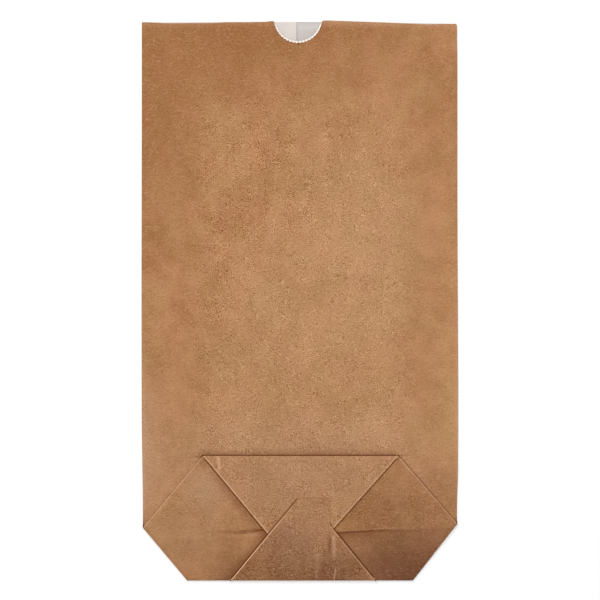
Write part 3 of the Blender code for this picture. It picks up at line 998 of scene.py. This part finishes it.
def bottom_panel():
    """The turned-up foot of the front wall, which lies under the flaps."""
    columns = 80
    inset = 0.45
    above_hinge = 0.35
    under_lift = 0.02
    full = (-half + inset, half - inset)
    rows = [
        strip_row(1, lambda x: hinge(x) + 1.6, full, columns, under_lift),
        strip_row(1, lambda x: hinge(x) + above_hinge, full, columns, under_lift),
    ]
    high = strip_row(2, lambda x: hinge(x) + above_hinge, full, columns)
    add_turn(rows, -1, [point[2] for point in high])
    last_y = top_edge - layer_pitch - paper / 2
    for share in between(0.0, 1.0, 24)[1:]:
        left_y = left_vertex[1] + (last_y - left_vertex[1]) * share
        right_y = right_vertex[1] + (last_y - right_vertex[1]) * share
        start = along(left_vertex, left_upper, left_y) + inset
        end = along(right_vertex, right_upper, right_y) - inset
        lean = (right_y - left_y) / (end - start)
        rows.append(strip_row(2, lambda x: left_y + (x - start) * lean, (start, end), columns))
    add_turn(rows, 1, [level(4, x, y) for x, y, z in rows[-1]])
    tuck = 1.2
    rows.append([(x, y - tuck, level(4, x, y - tuck)) for x, y, z in rows[-1]])
    return panel("bottom_panel", rows, upper_finish, (0, 0, -1))


def upper_flap():
    """The flap turned down from the top edge of the bottom over the two side flaps."""
    columns = 70
    first_y = top_edge - layer_pitch - paper / 2 - 0.3
    last_y = low + upper_flap_end
    rows = []
    for share in between(0.0, 1.0, 42):
        y = first_y + (last_y - first_y) * share
        start = along(left_upper, upper_foot_left, y) + upper_flap_inset
        end = along(right_upper, upper_foot_right, y) - upper_flap_inset
        row = []
        for i in range(columns + 1):
            x = start + (end - start) * i / columns
            edge = min(x - start, end - x)
            pillow = 0.10 * smooth(edge / 6.0)
            uneven = 0.10 * ripple(x, y, 14.0, 5.2) * smooth(edge / 8.0) * smooth(share * 5.0)
            row.append((x, y, level(4, x, y) + pillow + uneven + 0.015))
        rows.append(rolled(row, upper_tuck))
    return panel("upper_flap", rows, upper_finish)


lower_fold_y = low + (level(5, 0, low) - level(0, 0, low)) / 2 + paper / 2


def lower_flap_row(y, layer, start, end, shift=0.0, shaped=True):
    """A row of the lower flap, wrinkled up and down its length where it is shaped."""
    columns = 100
    row = []
    for i in range(columns + 1):
        x = start + (end - start) * i / columns
        height = level(layer, x, y) + shift
        if shaped:
            edge = min(x - start, end - x)
            free = smooth(edge / 6.0) * smooth((y - lower_fold_y) / 6.0)
            streak = 0.20 * noise.noise(Vector((x / 7.0, y / 30.0, 2.7)))
            streak += 0.16 * hump((x - 17.6) / 1.9) - 0.10 * hump((x - 15.4) / 1.2)
            height += free * (0.10 + streak + 0.10 * ripple(x, y, 12.0, 9.9))
        row.append((x, y, height))
    return row


def lower_flap():
    """The flap turned up from the back wall over all the others."""
    under_lift = 0.04
    under = (left_foot[0], right_foot[0])
    rows = [
        lower_flap_row(lower_fold_y + 2.1, 0, *under, under_lift, False),
        lower_flap_row(lower_fold_y, 0, *under, under_lift, False),
    ]
    add_turn(rows, -1, [level(5, x, y) for x, y, z in rows[-1]], 10)
    fold_rows = len(rows)
    steps = between(lower_fold_y, flap_knee[1], 24)[1:] + between(flap_knee[1], flap_tip[1], 14)[1:]
    for y in steps:
        start = along(left_foot, flap_tip, y)
        end = along(right_foot, flap_knee, y) if y < flap_knee[1] else lower_flap_side
        rows.append(lower_flap_row(y, 5, start, end))
    finished = []
    for index, row in enumerate(rows):
        if index < fold_rows:
            # As many points as a rolled row has, so that the rows join up
            finished.append([row[0]] * (roll_steps + 2) + row[1:-1] + [row[-1]] * (roll_steps + 2))
        else:
            finished.append(rolled(row, lower_tuck))
    return panel("lower_flap", finished, lower_finish)


def fold(name, start, end, out, layers, count, back=1.5):
    """A folded edge along a straight line of the outline, joining two layers."""
    lower, upper = layers
    lower_lift = 0.02
    rows = []
    for share in between(0.0, 1.0, count):
        x = start[0] + (end[0] - start[0]) * share
        y = start[1] + (end[1] - start[1]) * share
        inset = (level(upper, x, y) - level(lower, x, y)) / 2 + paper / 2
        x -= out[0] * inset
        y -= out[1] * inset
        back_x = x - out[0] * back
        back_y = y - out[1] * back
        z_low = level(lower, x, y) + lower_lift
        z_high = level(upper, x, y) + 0.012
        first = (back_x, back_y, level(lower, back_x, back_y) + lower_lift)
        last = (back_x, back_y, level(upper, back_x, back_y) - 0.04)
        rows.append([first, *fold_arc(x, y, out, z_low, z_high, 8), last])
    return panel(name, rows, fold_finish, (*out, 0))


def side_flap(side):
    """A side of the bottom squashed flat into a triangle, with the three folds along its edges."""
    name = "left" if side < 0 else "right"
    vertex, upper, lower = corners[side]
    cut = lower_flap_left if side < 0 else lower_flap_right
    start_y = upper[1] - 1.4
    knee_y = vertex[1] + 8.0
    bend_y = vertex[1] - 8.0
    end_y = low + 0.42
    upper_inset = 0.40
    lower_inset = 0.85
    start_inner = abs(upper[0]) - 3.5
    rows = []
    for y in between(start_y, vertex[1], 44) + between(vertex[1], end_y, 36)[1:]:
        if y >= vertex[1]:
            outer = abs(along(vertex, upper, y)) - upper_inset
        else:
            outer = abs(along(vertex, lower, y)) - lower_inset
        outer = min(outer, half - 0.95)
        inner = side_flap_inner
        if y >= knee_y:
            inner = start_inner + (side_flap_inner - start_inner) * (start_y - y) / (start_y - knee_y)
        elif y < bend_y:
            inner += (cut - side_flap_tuck - inner) * (bend_y - y) / (bend_y - end_y)
        row = []
        for x in between(inner, outer, 41):
            free = smooth(min(outer - x, 8.0) / 8.0)
            past_crease = y - (crease_slope * side * x + crease_level)
            uneven = 0.07 * ripple(side * x, y, 13.0, 4.0 + side)
            uneven += 0.14 * hump((past_crease - 1.6) / 2.8) - 0.06 * hump((past_crease + 1.0) / 2.0)
            row.append((side * x, y, level(3, side * x, y) + free * uneven))
        rows.append(row)
    stop = (upper[0] + side * 0.7, upper[1] - 0.85)
    inner_foot = (side * (cut - 1.5), low)
    return [
        panel(name + "_side_flap", rows, side_finish),
        fold(name + "_upper_fold", vertex, stop, outward(vertex, upper, side), (2, 3), 30),
        fold(name + "_lower_fold", vertex, lower, outward(vertex, lower, side), (0, 3), 30),
        fold(name + "_bottom_fold", lower, inner_foot, (0, -1), (0, 3), 16, back=0.8),
    ]


def join(name, items):
    """One mesh object from the panels, because the bag is one folded sheet."""
    with bpy.context.temp_override(active_object=items[0], selected_editable_objects=items):
        bpy.ops.object.join()
    items[0].name = name
    items[0].data.name = name
    return items[0]


panels = [front_wall(), back_wall(), seam(), bottom_panel(), upper_flap(), lower_flap()]
for side in (-1, 1):
    panels += side_flap(side)
bag = join("folded_paper_bag", panels)
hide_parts("paper_bag")
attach(bag, "root")


# Floor, light and camera

floor_white = 0.86
floor_size = 6.0
floor_drop = 0.0003
sky_level = 0.46
photo_pixels = 600
pixel_size = 0.5063  # millimetres of the bag that one pixel of the photograph shows
camera_height = 0.90
camera_y = 0.56
sensor_width = 36.0


def make_floor():
    """A white table, which glows towards its far parts so that the background stays white."""
    bpy.ops.mesh.primitive_plane_add(size=floor_size, location=(0.0, 0.0, -floor_drop))
    floor = bpy.context.object
    floor.name = "table"
    material = bpy.data.materials.new("white_table")
    material.use_nodes = True
    board = Board(material.node_tree)
    shader = material.node_tree.nodes["Principled BSDF"]
    shader.inputs["Base Color"].default_value = (floor_white, floor_white, floor_white, 1.0)
    shader.inputs["Roughness"].default_value = 0.9
    shader.inputs["Specular IOR Level"].default_value = 0.1
    shader.inputs["Emission Color"].default_value = (1.0, 1.0, 1.0, 1.0)
    rays = board.node("ShaderNodeLightPath").outputs
    seen = board.maths("MAXIMUM", rays["Is Camera Ray"], rays["Is Glossy Ray"])
    away = board.vector("LENGTH", board.node("ShaderNodeTexCoord").outputs["Object"])
    glow = board.ramp(away, 0.30, 0.85, 0.26, 1.0)
    board.feed(shader.inputs["Emission Strength"], board.maths("MULTIPLY", seen, glow))
    floor.data.materials.append(material)


def make_world():
    """An even white sky, plain white to the camera."""
    world = bpy.data.worlds.new("studio")
    bpy.context.scene.world = world
    world.use_nodes = True
    board = Board(world.node_tree)
    back = world.node_tree.nodes["Background"]
    back.inputs["Color"].default_value = (1.0, 1.0, 1.0, 1.0)
    seen = board.node("ShaderNodeLightPath").outputs["Is Camera Ray"]
    board.feed(back.inputs["Strength"], board.maths("MULTIPLY_ADD", seen, 1.0 - sky_level, sky_level))


def soft_box(name, place, size, watts):
    """A square studio light that points at the middle of the bag."""
    light = bpy.data.lights.new(name, "AREA")
    light.shape = "SQUARE"
    light.size = size
    light.energy = watts
    item = add_object(name, light)
    item.location = place
    item.rotation_euler = (-Vector(place)).to_track_quat("-Z", "Y").to_euler()


def make_camera():
    """A camera that looks straight down, with the photograph's frame."""
    frame_width = pixel_size * photo_pixels * MM
    camera = bpy.data.cameras.new("camera")
    camera.sensor_width = sensor_width
    camera.lens = sensor_width * camera_height / frame_width
    item = add_object("camera", camera)
    item.location = (0.0, camera_y * MM, camera_height)
    item.rotation_euler = (0.0, 0.0, 0.0)
    bpy.context.scene.camera = item


make_floor()
make_world()
soft_box("key_above_left", place=(-0.35, 0.75, 0.95), size=0.6, watts=6.7)
soft_box("fill_overhead", place=(0.05, 0.0, 1.4), size=0.5, watts=3.7)
make_camera()
bpy.context.scene.view_settings.view_transform = "Standard"
